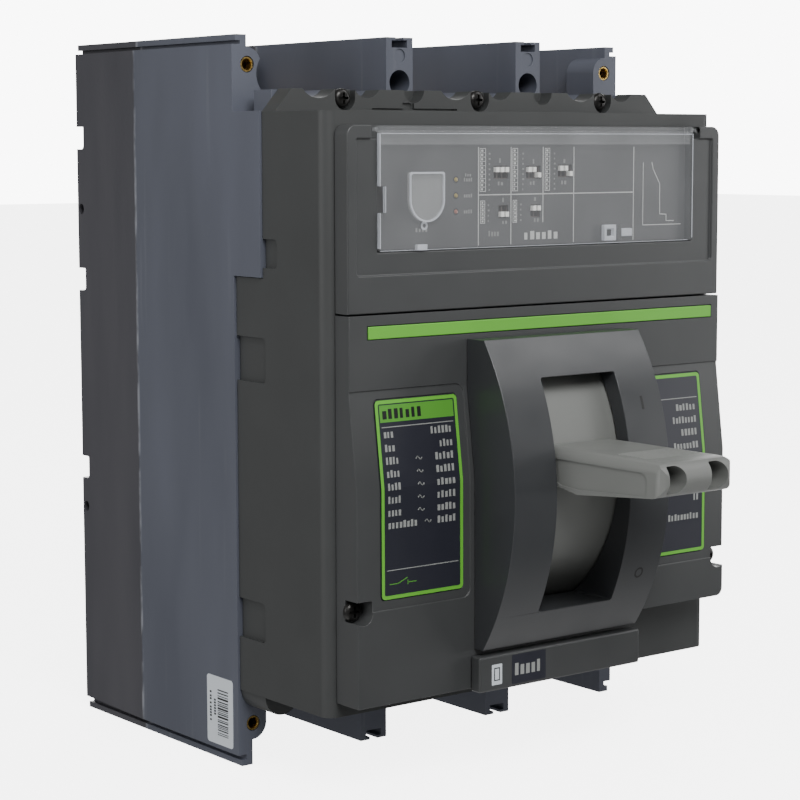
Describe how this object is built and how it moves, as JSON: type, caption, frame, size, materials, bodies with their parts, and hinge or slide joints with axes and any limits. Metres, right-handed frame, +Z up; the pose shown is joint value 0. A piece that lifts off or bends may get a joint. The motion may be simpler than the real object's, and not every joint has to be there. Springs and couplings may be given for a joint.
{
  "type": "moulded-case circuit breaker",
  "caption": "Three-pole moulded-case circuit breaker: finned rear base, dark housing, toggle handle in a curved shroud, and a clear hinged window over the trip unit settings.",
  "frame": {"origin": "centre of the rear mounting face", "axes": "+Y into the mounting plate, +Z up, +X to the right seen from the front; the handle points to -Y"},
  "size_m": [0.21, 0.2873, 0.2997],
  "materials": {
    "base_moulding": "fine moulded texture with faint scuffs",
    "housing_moulding": "fine moulded texture",
    "fascia_plastic": "satin moulded",
    "shroud_plastic": "satin moulded",
    "handle_plastic": "satin moulded",
    "green_inlay": "semi-gloss",
    "label_film": "printed film",
    "panel_film": "printed film",
    "clear_plastic": "clear moulded plastic",
    "switch_plastic": "moulded",
    "black_steel": "blackened",
    "brass": "turned",
    "silvered_copper": "silver-plated copper",
    "plated_steel": "zinc plated",
    "phenolic": "moulded"
  },
  "bodies": {
    "breaker": {"rear_base": "base_moulding", "main_housing": "housing_moulding", "trip_unit_cover": "fascia_plastic", "front_cover": "fascia_plastic", "rating_tab": "fascia_plastic", "handle_shroud": "shroud_plastic", "green_stripe": "green_inlay", "label_plate_left": "label_film", "label_plate_right": "label_film", "settings_panel": "panel_film", "sealing_lug": "panel_film", "test_socket_cover": "clear_plastic", "top_screw_left": "black_steel", "top_screw_middle": "black_steel", "top_screw_right": "black_steel", "front_screw_left": "black_steel", "front_screw_right": "black_steel", "brass_insert_lower_left": "brass", "brass_insert_lower_right": "brass", "brass_insert_upper_left": "brass", "brass_insert_upper_right": "brass", "line_terminal_1": "silvered_copper", "line_terminal_2": "silvered_copper", "line_terminal_3": "silvered_copper", "load_terminal_1": "silvered_copper", "load_terminal_2": "silvered_copper", "load_terminal_3": "silvered_copper", "mechanism_frame": "plated_steel", "handle_pivot_pin": "plated_steel", "arc_chute_1": "plated_steel", "arc_chute_2": "plated_steel", "arc_chute_3": "plated_steel", "trip_unit_module": "phenolic", "setting_board": "phenolic", "current_transformer_1": "phenolic", "current_transformer_2": "phenolic", "current_transformer_3": "phenolic"},
    "handle": {"toggle_handle": "handle_plastic", "handle_shield": "handle_plastic", "handle_yoke": "plated_steel"},
    "contact_shaft": {"contact_shaft": "phenolic", "moving_contact_1": "silvered_copper", "moving_contact_2": "silvered_copper", "moving_contact_3": "silvered_copper"},
    "clear_window": {"clear_window": "clear_plastic"},
    "trip_bar": {"trip_bar": "phenolic"},
    "switch_long_time_current_1": {"switch_long_time_current_1": "switch_plastic"},
    "switch_long_time_current_2": {"switch_long_time_current_2": "switch_plastic"},
    "switch_long_time_current_3": {"switch_long_time_current_3": "switch_plastic"},
    "switch_long_time_delay_1": {"switch_long_time_delay_1": "switch_plastic"},
    "switch_long_time_delay_2": {"switch_long_time_delay_2": "switch_plastic"},
    "switch_long_time_delay_3": {"switch_long_time_delay_3": "switch_plastic"},
    "switch_short_time_current_1": {"switch_short_time_current_1": "switch_plastic"},
    "switch_short_time_current_2": {"switch_short_time_current_2": "switch_plastic"},
    "switch_short_time_current_3": {"switch_short_time_current_3": "switch_plastic"},
    "switch_short_time_delay_1": {"switch_short_time_delay_1": "switch_plastic"},
    "switch_short_time_delay_2": {"switch_short_time_delay_2": "switch_plastic"},
    "switch_instantaneous_1": {"switch_instantaneous_1": "switch_plastic"},
    "switch_instantaneous_2": {"switch_instantaneous_2": "switch_plastic"}
  },
  "joints": [
    {"name": "handle_swing", "type": "hinge", "parent": "breaker", "child": "handle", "pos_m": [0, -0.1525, -0.0265], "axis": [1, 0, 0], "range_deg": [-20, 31]},
    {"name": "contact_shaft_turn", "type": "hinge", "parent": "breaker", "child": "contact_shaft", "pos_m": [0, -0.09, -0.0335], "axis": [1, 0, 0], "range_deg": [-10, 15.5]},
    {"name": "window_swing", "type": "hinge", "parent": "breaker", "child": "clear_window", "pos_m": [0, -0.1972, 0.1114], "axis": [-1, 0, 0], "range_deg": [0, 100]},
    {"name": "trip_bar_turn", "type": "hinge", "parent": "breaker", "child": "trip_bar", "pos_m": [0, -0.139, 0.0595], "axis": [1, 0, 0], "range_deg": [0, 15], "stiffness_Nm_per_rad": 0.02, "springref_deg": -8.59},
    {"name": "switch_long_time_current_1_slide", "type": "slide", "parent": "breaker", "child": "switch_long_time_current_1", "axis": [0, 0, 1], "range_m": [-0.0022, 0]},
    {"name": "switch_long_time_current_2_slide", "type": "slide", "parent": "breaker", "child": "switch_long_time_current_2", "axis": [0, 0, 1], "range_m": [-0.0022, 0]},
    {"name": "switch_long_time_current_3_slide", "type": "slide", "parent": "breaker", "child": "switch_long_time_current_3", "axis": [0, 0, 1], "range_m": [-0.0022, 0]},
    {"name": "switch_long_time_delay_1_slide", "type": "slide", "parent": "breaker", "child": "switch_long_time_delay_1", "axis": [0, 0, 1], "range_m": [-0.0022, 0]},
    {"name": "switch_long_time_delay_2_slide", "type": "slide", "parent": "breaker", "child": "switch_long_time_delay_2", "axis": [0, 0, 1], "range_m": [-0.0022, 0]},
    {"name": "switch_long_time_delay_3_slide", "type": "slide", "parent": "breaker", "child": "switch_long_time_delay_3", "axis": [0, 0, 1], "range_m": [0, 0.0022]},
    {"name": "switch_short_time_current_1_slide", "type": "slide", "parent": "breaker", "child": "switch_short_time_current_1", "axis": [0, 0, 1], "range_m": [-0.0022, 0]},
    {"name": "switch_short_time_current_2_slide", "type": "slide", "parent": "breaker", "child": "switch_short_time_current_2", "axis": [0, 0, 1], "range_m": [-0.0022, 0]},
    {"name": "switch_short_time_current_3_slide", "type": "slide", "parent": "breaker", "child": "switch_short_time_current_3", "axis": [0, 0, 1], "range_m": [0, 0.0022]},
    {"name": "switch_short_time_delay_1_slide", "type": "slide", "parent": "breaker", "child": "switch_short_time_delay_1", "axis": [0, 0, 1], "range_m": [0, 0.0022]},
    {"name": "switch_short_time_delay_2_slide", "type": "slide", "parent": "breaker", "child": "switch_short_time_delay_2", "axis": [0, 0, 1], "range_m": [0, 0.0022]},
    {"name": "switch_instantaneous_1_slide", "type": "slide", "parent": "breaker", "child": "switch_instantaneous_1", "axis": [0, 0, 1], "range_m": [-0.0022, 0]},
    {"name": "switch_instantaneous_2_slide", "type": "slide", "parent": "breaker", "child": "switch_instantaneous_2", "axis": [0, 0, 1], "range_m": [-0.0022, 0]}
  ],
  "couplings": [
    {"joint": "contact_shaft_turn", "follows": "handle_swing", "ratio": 0.5}
  ]
}
